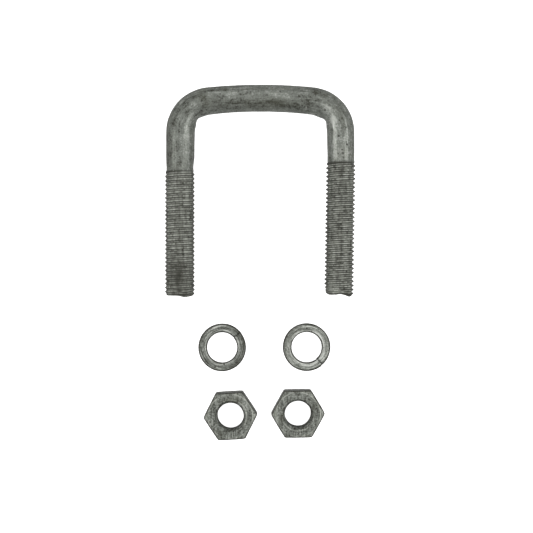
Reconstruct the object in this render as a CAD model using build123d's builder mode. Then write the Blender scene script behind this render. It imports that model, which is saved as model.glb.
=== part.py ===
"""Square U-bolt with two spring washers and two hexagon nuts, lying loose on a bench.

Millimetres, +Z up. The legs point along -Y, the crossbar is at +Y, and the origin is at the
middle of the whole lay-out, on the bench.
"""
from build123d import *
import os
from collections import namedtuple
from math import asin, ceil, cos, degrees, pi, radians, sin, tan

os.makedirs("parts", exist_ok=True)

# ------------------------------------------------------------------ thread, M12 x 1.75, coated
thread_crest_radius = 6.1         # 12 mm thread with 0.1 mm of zinc
thread_pitch = 1.75
thread_crest_flat = 0.34          # land along the axis at the crest
thread_root_flat = 0.48           # land along the axis at the root
thread_flank = 30.0               # each flank from the plane across the axis, degrees
left_thread_turns = 30            # whole turns of thread on the left leg
right_thread_turns = 32           # the right leg is threaded a little further

# ------------------------------------------------------------------ bolt
shank_radius = 5.55               # plain rod: the blank that the thread is rolled on
leg_spacing = 66.0                # between the axes of the two legs
bolt_height = 86.7                # back of the crossbar to the tips of the legs
bend_radius = 13.0                # rod axis round each corner
crossbar_radius = 215.0           # rod axis along the slightly bowed crossbar
tip_chamfer = 0.8                 # broken edge round each tip
shoulder_chamfer = 0.45           # where the thread stands up from the plain rod

# ------------------------------------------------------------------ spring washers
washer_leg_clearance = 0.1        # bore to thread crest, all round
washer_width = 3.65               # of the square-cut section, bore to rim
washer_thickness = 2.5
washer_rise = 1.8                 # one cut end above the other
washer_cut = 0.4                  # width of the cut, at the middle of the section
washer_cut_slant = 20.0           # of the cut from upright, so that the upper end overhangs

# ------------------------------------------------------------------ nuts
nut_across_flats = 19.2
nut_height = 10.0
nut_corner_radius = 0.8           # of the six upright edges
nut_face_inset = 0.5              # flat end face, inside the flats
nut_chamfer_angle = 30.0          # of the turned corners, from the end face
nut_thread_clearance = 0.15       # nut root to bolt crest, tapped oversize for the coating
nut_bore_relief = 0.1             # nut bore to bolt root
nut_countersink = 0.9             # radial depth at each end of the bore

# ------------------------------------------------------------------ how the loose pieces lie
# side, clear of the middle line, clear of what is above it, turned about its own axis
Lay = namedtuple("Lay", "side sign from_middle from_above turn")
washer_lays = [
    Lay("left", -1, 5.95, 11.38, 33.8),
    Lay("right", 1, 9.21, 11.24, -53.2),
]
nut_lays = [
    Lay("left", -1, 1.3, 7.92, 3.5),
    Lay("right", 1, 4.4, 7.45, 1.0),
]

# ------------------------------------------------------------------ worked out from the above
flank_slope = tan(radians(thread_flank))
groove_mouth = thread_pitch - thread_crest_flat
thread_root_radius = thread_crest_radius - (groove_mouth - thread_root_flat) / (2 * flank_slope)
cutter_overrun = 0.15             # thread cutters start this far off the surface that they cut
same_radius = 0.01                # edges are picked by their radius, give or take this

washer_bore_radius = thread_crest_radius + washer_leg_clearance
washer_rim_radius = washer_bore_radius + washer_width
washer_mid_radius = washer_bore_radius + washer_width / 2
washer_wrap = 1 - washer_cut / (2 * pi * washer_mid_radius)
washer_face_height = washer_thickness / cos(radians(washer_cut_slant))

nut_root_radius = thread_crest_radius + nut_thread_clearance
nut_bore_radius = thread_root_radius + nut_bore_relief
nut_corner_centre = (nut_across_flats / 2 - nut_corner_radius) / cos(radians(30))


def nut_reach(from_corner):
    """Half the width of a nut, measured this many degrees away from one of its corners."""
    return nut_corner_centre * cos(radians(from_corner)) + nut_corner_radius


def helix_round(plane, pitch, height, radius):
    """Right-hand helix round a plane's normal, starting on the plane's X axis."""
    return Helix(pitch, height, radius).moved(plane.location)


def side_plane(plane):
    """Plane through the normal of another: X stays, and Y runs along that normal."""
    return Plane(origin=plane.origin, x_dir=plane.x_dir, z_dir=-plane.y_dir)


def thread_path(plane, turns, radius):
    """A thread's helix as single turns, end to end, each with the plane that its profile is on."""
    starts = [plane.offset(turn * thread_pitch) for turn in range(turns)]
    return [
        (side_plane(start), helix_round(start, thread_pitch, thread_pitch, radius))
        for start in starts
    ]


left_washer = washer_lays[0]
left_nut = nut_lays[0]
lay_length = (
    bolt_height
    + left_washer.from_above
    + 2 * washer_rim_radius
    + left_nut.from_above
    + 2 * nut_reach(30 - left_nut.turn)
)
crown_y = lay_length / 2
tip_y = crown_y - bolt_height
leg_x = leg_spacing / 2
rod_z = thread_crest_radius

bow_angle = asin((leg_x - bend_radius) / (crossbar_radius - bend_radius))
crossbar_centre_y = crown_y - shank_radius - crossbar_radius
bend_start_y = crossbar_centre_y + (crossbar_radius - bend_radius) * cos(bow_angle)
bend_sweep = 90 - degrees(bow_angle)


# ------------------------------------------------------------------ u_bolt
leg_tips = [
    (Plane(origin=(leg, tip_y, rod_z), x_dir=(1, 0, 0), z_dir=(0, 1, 0)), turns)
    for leg, turns in ((-leg_x, left_thread_turns), (leg_x, right_thread_turns))
]
groove_turns = []
for tip, turns in leg_tips:
    groove_turns += thread_path(tip.offset(-thread_pitch), turns + 1, thread_crest_radius)
groove_top = thread_crest_radius + cutter_overrun
groove_top_half = groove_mouth / 2 + cutter_overrun * flank_slope

with BuildPart() as u_bolt:
    with BuildLine() as rod_axis:
        left_leg = Line((-leg_x, tip_y, rod_z), (-leg_x, bend_start_y, rod_z))
        left_bend = JernArc(left_leg @ 1, left_leg % 1, bend_radius, -bend_sweep)
        crossbar = JernArc(left_bend @ 1, left_bend % 1, crossbar_radius, -2 * degrees(bow_angle))
        right_bend = JernArc(crossbar @ 1, crossbar % 1, bend_radius, -bend_sweep)
        Line(right_bend @ 1, (leg_x, tip_y, rod_z))
    with BuildSketch(Plane(origin=rod_axis.line @ 0, z_dir=rod_axis.line % 0)):
        Circle(shank_radius)
    sweep()

    # the threaded length of each leg, first as a plain bar of the crest's size
    for tip, turns in leg_tips:
        with BuildSketch(tip):
            Circle(thread_crest_radius)
        extrude(amount=turns * thread_pitch)
    rims = u_bolt.edges().filter_by(GeomType.CIRCLE)
    rims = rims.filter_by(lambda rim: abs(rim.radius - thread_crest_radius) < same_radius)
    rims = rims.sort_by(Axis.Y)
    chamfer(rims[: len(leg_tips)], length=tip_chamfer)
    chamfer(rims[len(leg_tips) :], length=shoulder_chamfer)

    # a right-hand groove runs from the shoulder off the tip, cut a turn at a time
    for profile_plane, groove_turn in groove_turns:
        with BuildSketch(profile_plane) as groove:
            with BuildLine():
                Polyline(
                    (thread_root_radius, thread_root_flat / 2),
                    (thread_root_radius, -thread_root_flat / 2),
                    (groove_top, -groove_top_half),
                    (groove_top, groove_top_half),
                    close=True,
                )
            make_face()
        sweep(groove.sketch, groove_turn, is_frenet=True, mode=Mode.SUBTRACT)

u_bolt.part.label = "u_bolt"
export_step(u_bolt.part, "parts/u_bolt.step")


# ------------------------------------------------------------------ spring_washer_left, _right
def lying_at(lay, reach_x, reach_y, row_above):
    """Bench plane under a loose piece, with X along its turned mark."""
    place = (lay.sign * (lay.from_middle + reach_x), row_above - lay.from_above - reach_y, 0)
    heading = (cos(radians(lay.turn)), sin(radians(lay.turn)), 0)
    return Plane(origin=place, x_dir=heading, z_dir=(0, 0, 1))


for lay in washer_lays:
    bench = lying_at(lay, washer_rim_radius, washer_rim_radius, tip_y)
    coil = helix_round(bench, washer_rise, washer_rise * washer_wrap, washer_mid_radius)
    with BuildPart() as spring_washer:
        with BuildSketch(side_plane(bench).rotated((-washer_cut_slant, 0, 0))):
            with Locations((washer_mid_radius, washer_face_height / 2)):
                Rectangle(2 * washer_width, washer_face_height)
        sweep(path=coil, is_frenet=True)
        with BuildSketch(bench):
            Circle(washer_rim_radius)
            Circle(washer_bore_radius, mode=Mode.SUBTRACT)
        extrude(amount=washer_thickness + 2 * washer_rise, mode=Mode.INTERSECT)
    spring_washer.part.label = f"spring_washer_{lay.side}"
    export_step(spring_washer.part, f"parts/spring_washer_{lay.side}.step")


# ------------------------------------------------------------------ hex_nut_left, hex_nut_right
for lay, washer in zip(nut_lays, washer_lays):
    washer_edge_y = tip_y - washer.from_above - 2 * washer_rim_radius
    bench = lying_at(lay, nut_reach(lay.turn), nut_reach(30 - lay.turn), washer_edge_y)
    tap_turns = thread_path(
        bench.offset(-thread_pitch), ceil(nut_height / thread_pitch) + 2, nut_bore_radius
    )
    with BuildPart() as hex_nut:
        with BuildSketch(bench):
            RegularPolygon(nut_across_flats / 2, 6, major_radius=False)
        extrude(amount=nut_height)
        fillet(hex_nut.edges().filter_by(Axis.Z), nut_corner_radius)

        # both ends turned to a cone outside a round flat face
        face_radius = nut_across_flats / 2 - nut_face_inset
        cone_radius = nut_reach(0) + nut_face_inset
        cone_drop = (cone_radius - face_radius) * tan(radians(nut_chamfer_angle))
        with BuildSketch(side_plane(bench)):
            with BuildLine():
                Polyline(
                    (0, 0),
                    (face_radius, 0),
                    (cone_radius, cone_drop),
                    (cone_radius, nut_height - cone_drop),
                    (face_radius, nut_height),
                    (0, nut_height),
                    close=True,
                )
            make_face()
        revolve(axis=Axis(bench.origin, bench.z_dir), mode=Mode.INTERSECT)

        with Locations(bench.offset(nut_height)):
            Hole(nut_bore_radius)
        mouths = hex_nut.edges().filter_by(GeomType.CIRCLE)
        mouths = mouths.filter_by(lambda mouth: abs(mouth.radius - nut_bore_radius) < same_radius)
        chamfer(mouths, length=nut_countersink)

        # the internal thread is the bolt's own ridge, moved out by the thread clearance
        mouth_radius = nut_bore_radius - cutter_overrun
        mouth_half = thread_crest_flat / 2 + (nut_root_radius - mouth_radius) * flank_slope
        for profile_plane, tap_turn in tap_turns:
            with BuildSketch(profile_plane) as tap:
                with BuildLine():
                    Polyline(
                        (mouth_radius, mouth_half),
                        (mouth_radius, -mouth_half),
                        (nut_root_radius, -thread_crest_flat / 2),
                        (nut_root_radius, thread_crest_flat / 2),
                        close=True,
                    )
                make_face()
            sweep(tap.sketch, tap_turn, is_frenet=True, mode=Mode.SUBTRACT)
    hex_nut.part.label = f"hex_nut_{lay.side}"
    export_step(hex_nut.part, f"parts/hex_nut_{lay.side}.step")
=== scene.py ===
"""Looks of a galvanised square U-bolt, lying on a bench with its spring washers and nuts.

Metres, +Z up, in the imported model's frame: the legs point along -Y, the crossbar is at +Y, and
the bench is at Z = 0. Every place is worked out from the frame, and every size that the frame
doesn't give is a field of the class that it belongs to.
"""

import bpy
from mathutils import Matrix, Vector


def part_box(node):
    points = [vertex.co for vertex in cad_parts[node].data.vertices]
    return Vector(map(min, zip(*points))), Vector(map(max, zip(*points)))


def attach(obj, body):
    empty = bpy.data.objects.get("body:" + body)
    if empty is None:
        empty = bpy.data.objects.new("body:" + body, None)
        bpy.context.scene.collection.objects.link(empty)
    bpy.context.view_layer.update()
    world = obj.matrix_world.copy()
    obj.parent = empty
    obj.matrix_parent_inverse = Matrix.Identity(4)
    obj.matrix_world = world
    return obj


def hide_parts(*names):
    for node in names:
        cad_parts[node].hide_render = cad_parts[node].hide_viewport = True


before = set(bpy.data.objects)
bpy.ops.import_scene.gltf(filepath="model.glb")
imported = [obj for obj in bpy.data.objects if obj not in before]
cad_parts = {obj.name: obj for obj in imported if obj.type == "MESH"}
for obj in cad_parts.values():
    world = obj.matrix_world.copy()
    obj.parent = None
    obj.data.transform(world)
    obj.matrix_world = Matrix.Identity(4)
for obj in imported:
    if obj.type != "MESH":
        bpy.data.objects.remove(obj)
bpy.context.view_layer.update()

import logging
import math
from dataclasses import dataclass, field, replace
from enum import Enum
from typing import Any, Iterable, Optional, Union

import bmesh
import bpy
import numpy as np
from mathutils import Vector

log = logging.getLogger("u_bolt")

MM = 0.001
TURN = 2 * math.pi
WELD_DISTANCE = 0.002 * MM
NO_WAVE = 1e-4  # a sine or cosine nearer to 0 than this is taken as 0
UPPER_SIDE = (-2 * MM, 1 * MM)  # heights between which a blemish fades in
DENTED = (0.60, 0.78)  # levels of noise between which a dent deepens

Number = Union[int, float]
Operand = Union["Wire", Number]
Band = tuple[float, float]
Colour = tuple[float, float, float, float]


# ---------------------------------------------------------------- node trees as expressions
class Wire:
    """An output socket of a node tree that can be written in arithmetic."""

    def __init__(self, graph: "Graph", socket: bpy.types.NodeSocket) -> None:
        """Keeps the socket and the graph that new nodes are added to."""
        self.graph = graph
        self.socket = socket

    def maths(self, operation: str, *others: Operand, clamped: bool = False) -> "Wire":
        """Adds a Math node with this wire as its first value.

        Args:
            operation: the Math node's operation.
            others: the values or wires of its other sockets, in order.
            clamped: whether the result is kept between 0 and 1.

        Returns:
            The node's result.
        """
        settings = {"operation": operation, "use_clamp": clamped}
        sockets = dict(enumerate((self, *others)))
        return self.graph.node("ShaderNodeMath", settings, sockets)

    def __add__(self, other: Operand) -> "Wire":
        """This plus other."""
        return self.maths("ADD", other)

    def __radd__(self, other: Number) -> "Wire":
        """A number plus this."""
        return self.maths("ADD", other)

    def __sub__(self, other: Operand) -> "Wire":
        """This minus other."""
        return self.maths("SUBTRACT", other)

    def __rsub__(self, other: Number) -> "Wire":
        """A number minus this."""
        return self.maths("MULTIPLY", -1.0) + other

    def __mul__(self, other: Operand) -> "Wire":
        """This times other."""
        return self.maths("MULTIPLY", other)

    def __rmul__(self, other: Number) -> "Wire":
        """A number times this."""
        return self.maths("MULTIPLY", other)

    def __truediv__(self, other: Operand) -> "Wire":
        """This over other."""
        return self.maths("DIVIDE", other)

    def __rtruediv__(self, other: Number) -> "Wire":
        """A number over this."""
        return self.maths("POWER", -1.0) * other

    def __neg__(self) -> "Wire":
        """This with its sign turned."""
        return self.maths("MULTIPLY", -1.0)

    def __abs__(self) -> "Wire":
        """This without its sign."""
        return self.maths("ABSOLUTE")

    def clamp(self) -> "Wire":
        """This kept between 0 and 1."""
        return self.maths("ADD", 0.0, clamped=True)

    def at_least(self, other: Operand) -> "Wire":
        """The larger of this and other."""
        return self.maths("MAXIMUM", other)

    def at_most(self, other: Operand) -> "Wire":
        """The smaller of this and other."""
        return self.maths("MINIMUM", other)

    def step(self, low: Operand, high: Operand, to: Band = (0, 1)) -> "Wire":
        """A smooth step across a range.

        Args:
            low: where the step starts.
            high: where it ends.
            to: the values on either side.

        Returns:
            The stepped value.
        """
        settings = {"interpolation_type": "SMOOTHSTEP"}
        sockets = {"Value": self, "From Min": low, "From Max": high}
        sockets |= {"To Min": to[0], "To Max": to[1]}
        return self.graph.node("ShaderNodeMapRange", settings, sockets)


class Graph:
    """A node tree that is built from expressions."""

    def __init__(self, tree: bpy.types.NodeTree) -> None:
        """Takes an empty tree."""
        self.tree = tree

    def node(
        self,
        kind: str,
        settings: Optional[dict[str, Any]] = None,
        sockets: Optional[dict[Union[str, int], Any]] = None,
        out: Union[str, int] = 0,
    ) -> Wire:
        """Adds a node.

        Args:
            kind: the node's type.
            settings: its properties, set first.
            sockets: a value or a wire for each input, by name or number.
            out: the output that is wanted.

        Returns:
            That output.
        """
        made = self.tree.nodes.new(kind)
        for name, value in (settings or {}).items():
            setattr(made, name, value)
        for key, value in (sockets or {}).items():
            if isinstance(value, Wire):
                self.tree.links.new(value.socket, made.inputs[key])
            else:
                made.inputs[key].default_value = value
        return Wire(self, made.outputs[out])

    def point(self, x: Operand, y: Operand, z: Operand) -> Wire:
        """A vector from its three parts."""
        return self.node("ShaderNodeCombineXYZ", sockets={0: x, 1: y, 2: z})

    def parts(self, vector: Wire) -> tuple[Wire, Wire, Wire]:
        """Takes a vector apart.

        Args:
            vector: the vector, or a colour.

        Returns:
            Its three parts.
        """
        first = self.node("ShaderNodeSeparateXYZ", sockets={0: vector})
        outputs = first.socket.node.outputs
        return first, Wire(self, outputs[1]), Wire(self, outputs[2])

    def vectors(self, operation: str, *values: Any, out: int = 0) -> Wire:
        """Adds a Vector Math node on the given vectors."""
        sockets = dict(enumerate(values))
        return self.node("ShaderNodeVectorMath", {"operation": operation}, sockets, out)

    def scaled(self, vector: Wire, factor: Operand) -> Wire:
        """A vector times a number."""
        sockets = {0: vector, "Scale": factor}
        return self.node("ShaderNodeVectorMath", {"operation": "SCALE"}, sockets)

    def noise(self, where: Wire, scale: Operand, detail: float = 2.0, rough: float = 0.5) -> Wire:
        """Fractal noise between 0 and 1.

        Args:
            where: the coordinates.
            scale: cells for each metre.
            detail: octaves.
            rough: how strong the finer octaves are.

        Returns:
            The noise.
        """
        sockets = {"Vector": where, "Scale": scale, "Detail": detail, "Roughness": rough}
        return self.node("ShaderNodeTexNoise", sockets=sockets)

    def cells(self, where: Wire, scale: Operand, feature: str, out: str) -> Wire:
        """Voronoi cells.

        Args:
            where: the coordinates.
            scale: cells for each metre.
            feature: the texture's feature.
            out: the output's name.

        Returns:
            That output.
        """
        sockets = {"Vector": where, "Scale": scale}
        return self.node("ShaderNodeTexVoronoi", {"feature": feature}, sockets, out)

    def mix(self, amount: Operand, first: Any, second: Any) -> Wire:
        """Blends two colours.

        Args:
            amount: 0 for the first and 1 for the second.
            first: a colour or a wire.
            second: a colour or a wire.

        Returns:
            The blended colour.
        """
        sockets = {0: amount, 6: first, 7: second}
        return self.node("ShaderNodeMix", {"data_type": "RGBA"}, sockets, out=2)


class SocketKind(Enum):
    """Types of the named inputs of a geometry tree."""

    LENGTH = "NodeSocketFloat"
    COUNT = "NodeSocketInt"
    FINISH = "NodeSocketMaterial"


class GeometryGraph(Graph):
    """A Geometry Nodes tree with named inputs, run on a mesh to make a new one."""

    def __init__(self, name: str, inputs: dict[str, SocketKind]) -> None:
        """Makes the tree's interface.

        Args:
            name: the tree's name.
            inputs: the named inputs and their types.
        """
        super().__init__(bpy.data.node_groups.new(name, "GeometryNodeTree"))
        new_socket = self.tree.interface.new_socket
        new_socket("Geometry", in_out="INPUT", socket_type="NodeSocketGeometry")
        new_socket("Geometry", in_out="OUTPUT", socket_type="NodeSocketGeometry")
        self.identifiers = {
            label: new_socket(label, in_out="INPUT", socket_type=kind.value).identifier
            for label, kind in inputs.items()
        }
        self._group = self.tree.nodes.new("NodeGroupInput")

    def given(self, label: str) -> Wire:
        """A named input, or "Geometry" for the mesh that the tree is run on."""
        return Wire(self, self._group.outputs[label])

    def grid(self, columns: Operand, rows: Operand) -> tuple[Wire, Wire, Wire]:
        """A flat grid whose corners are welded later.

        Args:
            columns: faces across.
            rows: faces along.

        Returns:
            The mesh, and its two coordinates, each from 0 to 1.
        """
        sockets = {"Size X": 1.0, "Size Y": 1.0}
        sockets |= {"Vertices X": columns + 1, "Vertices Y": rows + 1}
        mesh = self.node("GeometryNodeMeshGrid", sockets=sockets)
        across, along, _ = self.parts(self.node("GeometryNodeInputPosition"))
        return mesh, across + 0.5, along + 0.5

    def placed(self, mesh: Wire, position: Wire) -> Wire:
        """Moves each vertex to a position and welds the seams.

        Args:
            mesh: the mesh.
            position: where its vertices go.

        Returns:
            The welded mesh.
        """
        sockets = {"Geometry": mesh, "Position": position}
        moved = self.node("GeometryNodeSetPosition", sockets=sockets)
        sockets = {"Geometry": moved, "Distance": WELD_DISTANCE}
        return self.node("GeometryNodeMergeByDistance", sockets=sockets)

    def close(self, mesh: Wire, finish: Optional[Wire] = None) -> None:
        """Ends the tree with Realize Instances and Set Material.

        Args:
            mesh: the finished mesh.
            finish: its material, or nothing for a skin that is coated later.
        """
        real = self.node("GeometryNodeRealizeInstances", sockets={"Geometry": mesh})
        sockets = {"Geometry": real}
        if finish:
            sockets["Material"] = finish
        dressed = self.node("GeometryNodeSetMaterial", sockets=sockets)
        ending = self.tree.nodes.new("NodeGroupOutput")
        self.tree.links.new(dressed.socket, ending.inputs[0])

    def grow(self, base: bpy.types.Mesh, **values: Any) -> bpy.types.Mesh:
        """Runs the tree and keeps the result as a plain mesh.

        Args:
            base: the mesh that the tree is given.
            values: a value for each named input, with underscores for its spaces.

        Returns:
            The new mesh.
        """
        carrier = bpy.data.objects.new("carrier", base)
        bpy.context.collection.objects.link(carrier)
        modifier = carrier.modifiers.new("grow", "NODES")
        modifier.node_group = self.tree
        for label, value in values.items():
            modifier[self.identifiers[label.replace("_", " ")]] = value
        graph = bpy.context.evaluated_depsgraph_get()
        made = bpy.data.meshes.new_from_object(carrier.evaluated_get(graph))
        carrier.modifiers.remove(modifier)
        bpy.data.objects.remove(carrier)
        return made


# ---------------------------------------------------------------- meshes
def plain_mesh(
    name: str, points: np.ndarray, faces: Iterable = (), edges: Iterable = ()
) -> bpy.types.Mesh:
    """A mesh from its points and faces, or from a chain of edges.

    Args:
        name: the mesh's name.
        points: one row for each vertex.
        faces: vertex numbers of each face.
        edges: vertex numbers of each edge.

    Returns:
        The mesh.
    """
    mesh = bpy.data.meshes.new(name)
    mesh.from_pydata([tuple(p) for p in points], list(edges), list(faces))
    return mesh


def sheet_mesh(name: str, points: np.ndarray) -> bpy.types.Mesh:
    """A grid of quads through an array of points, rows by columns.

    Args:
        name: the mesh's name.
        points: an array of rows, columns and the three coordinates.

    Returns:
        The mesh, with its seams still open.
    """
    rows, columns, _ = points.shape
    corner = np.arange(rows * columns).reshape(rows, columns)
    quads = np.stack([corner[:-1, :-1], corner[:-1, 1:], corner[1:, 1:], corner[1:, :-1]], -1)
    return plain_mesh(name, points.reshape(-1, 3), quads.reshape(-1, 4).tolist())


def weld(name: str, meshes: list[bpy.types.Mesh]) -> bpy.types.Mesh:
    """Joins open pieces of one skin into a closed mesh that faces outwards.

    Args:
        name: the new mesh's name.
        meshes: the pieces, whose rims meet vertex to vertex.

    Returns:
        The closed mesh.
    """
    build = bmesh.new()
    for mesh in meshes:
        build.from_mesh(mesh)
    bmesh.ops.remove_doubles(build, verts=build.verts, dist=WELD_DISTANCE)
    bmesh.ops.dissolve_degenerate(build, edges=build.edges, dist=WELD_DISTANCE)
    bmesh.ops.recalc_face_normals(build, faces=build.faces)
    for face in build.faces:
        face.smooth = True
    welded = bpy.data.meshes.new(name)
    build.to_mesh(welded)
    build.free()
    faces = len(welded.polygons)
    open_edges = len(welded.edges) * 2 - sum(len(p.vertices) for p in welded.polygons)
    log.info("%s: %d faces, %d edges not shared by two faces", name, faces, open_edges)
    return welded


def read_points(mesh: bpy.types.Mesh) -> np.ndarray:
    """Reads a mesh's vertices.

    Args:
        mesh: the mesh.

    Returns:
        One row for each vertex.
    """
    flat = np.empty(len(mesh.vertices) * 3)
    mesh.vertices.foreach_get("co", flat)
    return flat.reshape(-1, 3)


def write_points(mesh: bpy.types.Mesh, points: np.ndarray) -> None:
    """Moves the mesh's vertices to the given rows."""
    mesh.vertices.foreach_set("co", points.ravel())
    mesh.update()


def mark(mesh: bpy.types.Mesh, name: str, values: np.ndarray) -> None:
    """Stores a number or a vector for each vertex, for the finish to read.

    Args:
        mesh: the mesh.
        name: the mark's name.
        values: one number or one row for each vertex.
    """
    kind, member = ("FLOAT", "value") if values.ndim == 1 else ("FLOAT_VECTOR", "vector")
    layer = mesh.attributes.new(name, kind, "POINT")
    layer.data.foreach_set(member, values.astype(np.float32).ravel())


@dataclass(frozen=True)
class Blemish:
    """A soft patch on the upper side of a piece, placed on its unrolled skin in millimetres."""

    across: float
    along: float
    wide: float
    long: float
    strength: float = 1.0

    def spread(self, unrolled: np.ndarray) -> np.ndarray:
        """How strong the patch is at each point.

        Args:
            unrolled: one row for each vertex: across the skin, along it, and up.

        Returns:
            One number for each vertex.
        """
        across = bell(unrolled[:, 0] / MM, self.across, self.wide)
        along = bell(unrolled[:, 1] / MM, self.along, self.long)
        upper = smooth_step(*UPPER_SIDE, unrolled[:, 2])
        return self.strength * across * along * upper


def spread_all(blemishes: Iterable[Blemish], unrolled: np.ndarray) -> np.ndarray:
    """The patches together, kept between 0 and 1."""
    total = sum((blemish.spread(unrolled) for blemish in blemishes), np.zeros(len(unrolled)))
    return np.clip(total, 0, 1)


def bell(values: np.ndarray, middle: float, wide: float) -> np.ndarray:
    """A smooth hump that is 1 at its middle and nearly 0 at twice its width from there."""
    return np.exp(-(((values - middle) / wide) ** 2))


def smooth_step(low: float, high: float, values: np.ndarray) -> np.ndarray:
    """A smooth step from 0 at low to 1 at high."""
    t = np.clip((values - low) / (high - low), 0, 1)
    return t * t * (3 - 2 * t)


def centre_of(node: str) -> Vector:
    """The middle of a CAD node's box."""
    low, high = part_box(node)
    return (Vector(low) + Vector(high)) / 2


# ---------------------------------------------------------------- screw thread
def thread_tree() -> GeometryGraph:
    """A tube round +Z with a right-hand thread: a leg's outside or a nut's bore.

    Rows of the grid climb with the helix, and what runs past either end is pressed flat on that
    end and welded, so crests and roots stay crisp and both rims are plain circles.

    Returns:
        The tree.
    """
    lengths = ["Length", "Pitch", "Root", "Crest", "Crest flat", "Root flat", "Start", "End"]
    kinds = dict.fromkeys([*lengths, "Fade", "Side"], SocketKind.LENGTH)
    kinds |= dict.fromkeys(["Turns", "Columns", "Rows"], SocketKind.COUNT)
    g = GeometryGraph("thread", kinds)
    length, pitch, side = g.given("Length"), g.given("Pitch"), g.given("Side")
    root, crest = g.given("Root"), g.given("Crest")
    mesh, across, along = g.grid(g.given("Columns"), g.given("Turns") * g.given("Rows"))

    turn = along * g.given("Turns")
    height = ((turn - 1 + across) * pitch).at_least(0.0).at_most(length)
    from_crest = abs(turn.maths("FRACT") - 0.5)
    flank_end = 0.5 - g.given("Root flat") / pitch * 0.5
    flank_start = g.given("Crest flat") / pitch * 0.5
    ridge = ((flank_end - from_crest) / (flank_end - flank_start)).clamp()
    threaded = root + (crest - root) * ridge
    fading = height.step(length - g.given("Fade"), length)
    threaded = threaded + (g.given("End") - threaded) * fading
    start_cone = g.given("Start") + side * height
    end_cone = g.given("End") + side * (length - height)
    radius = side * (side * threaded).at_most(side * start_cone).at_most(side * end_cone)

    angle = across * TURN
    position = g.point(radius * angle.maths("COSINE"), radius * angle.maths("SINE"), height)
    g.close(g.placed(mesh, position))
    return g


@dataclass(frozen=True)
class Thread:
    """Sizes of one coated screw thread, inside or outside."""

    crest: float
    root: float
    crest_flat: float
    root_flat: float
    pitch: float = 1.75 * MM
    rows_per_turn: int = 12

    def tube(
        self, tree: GeometryGraph, length: float, start: float, end: float, columns: int,
        side: int = 1, fade: float = 0.001 * MM,
    ) -> bpy.types.Mesh:
        """The thread's skin, standing on Z = 0.

        Args:
            tree: the thread tree.
            length: along the axis.
            start: radius of the rim at Z = 0.
            end: radius of the rim at the far end.
            columns: faces round the axis.
            side: 1 for an outside thread, -1 for a bore.
            fade: length over which the thread runs out at the far end.

        Returns:
            The open tube.
        """
        return tree.grow(
            plain_mesh("thread_start", np.zeros((1, 3))),
            Length=length, Pitch=self.pitch, Root=self.root, Crest=self.crest,
            Crest_flat=self.crest_flat, Root_flat=self.root_flat, Start=start, End=end,
            Fade=fade, Side=float(side), Turns=math.ceil(length / self.pitch) + 2,
            Columns=columns, Rows=self.rows_per_turn,
        )


# ---------------------------------------------------------------- bent bar
def bar_tree() -> GeometryGraph:
    """A round bar along a flat path, squeezed where it bends and fuller on its left leg.

    Returns:
        The tree.
    """
    lengths = ["Radius", "Apex", "Right shift", "Pinch", "Pinch reach", "Gather", "Gather reach"]
    lengths += ["Left swell", "Fade", "Crown at", "Swell start", "Swell end", "Outer share"]
    kinds = dict.fromkeys([*lengths, "Squeeze"], SocketKind.LENGTH)
    kinds |= dict.fromkeys(["Columns", "Rows"], SocketKind.COUNT)
    g = GeometryGraph("bent_bar", kinds)
    path = g.node("GeometryNodeMeshToCurve", sockets={0: g.given("Geometry")})
    whole = g.node("GeometryNodeCurveLength", sockets={0: path})
    mesh, across, along = g.grid(g.given("Columns"), g.given("Rows"))
    sampling = {"Curves": path, "Length": along * whole}
    centre = g.node("GeometryNodeSampleCurve", {"mode": "LENGTH"}, sampling, "Position")
    tangent = g.node("GeometryNodeSampleCurve", {"mode": "LENGTH"}, sampling, "Tangent")
    up = g.point(0.0, 0.0, 1.0)
    inward = g.vectors("CROSS_PRODUCT", tangent, up)

    angle = across * TURN
    towards = angle.maths("COSINE")
    travel = along * whole
    from_crown = travel - g.given("Crown at")
    on_right = from_crown.maths("GREATER_THAN", 0.0)
    from_apex = abs(from_crown) - g.given("Apex") - on_right * g.given("Right shift")

    def hump(reach: str) -> Wire:
        """A bell round each bend's apex."""
        scaled = from_apex / g.given(reach)
        return (-(scaled * scaled)).maths("EXPONENT")

    inner = towards.at_least(0.0).maths("POWER", g.given("Squeeze"))
    swell = g.given("Gather") * hump("Gather reach") - g.given("Pinch") * hump("Pinch reach")
    on_left = from_apex.step(g.given("Swell start"), g.given("Swell end")) * (1 - on_right)
    share = g.given("Outer share")
    fuller = on_left * g.given("Left swell") * (share + inner * (1 - share))
    fade = g.given("Fade")
    off_ends = travel.step(0.0, fade) * (whole - travel).step(0.0, fade)
    radius = g.given("Radius") + (inner * swell + fuller) * off_ends
    sideways = g.scaled(inward, radius * towards)
    upwards = g.scaled(up, radius * angle.maths("SINE"))
    position = g.vectors("ADD", centre, g.vectors("ADD", sideways, upwards))
    g.close(g.placed(mesh, position))
    return g


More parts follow.
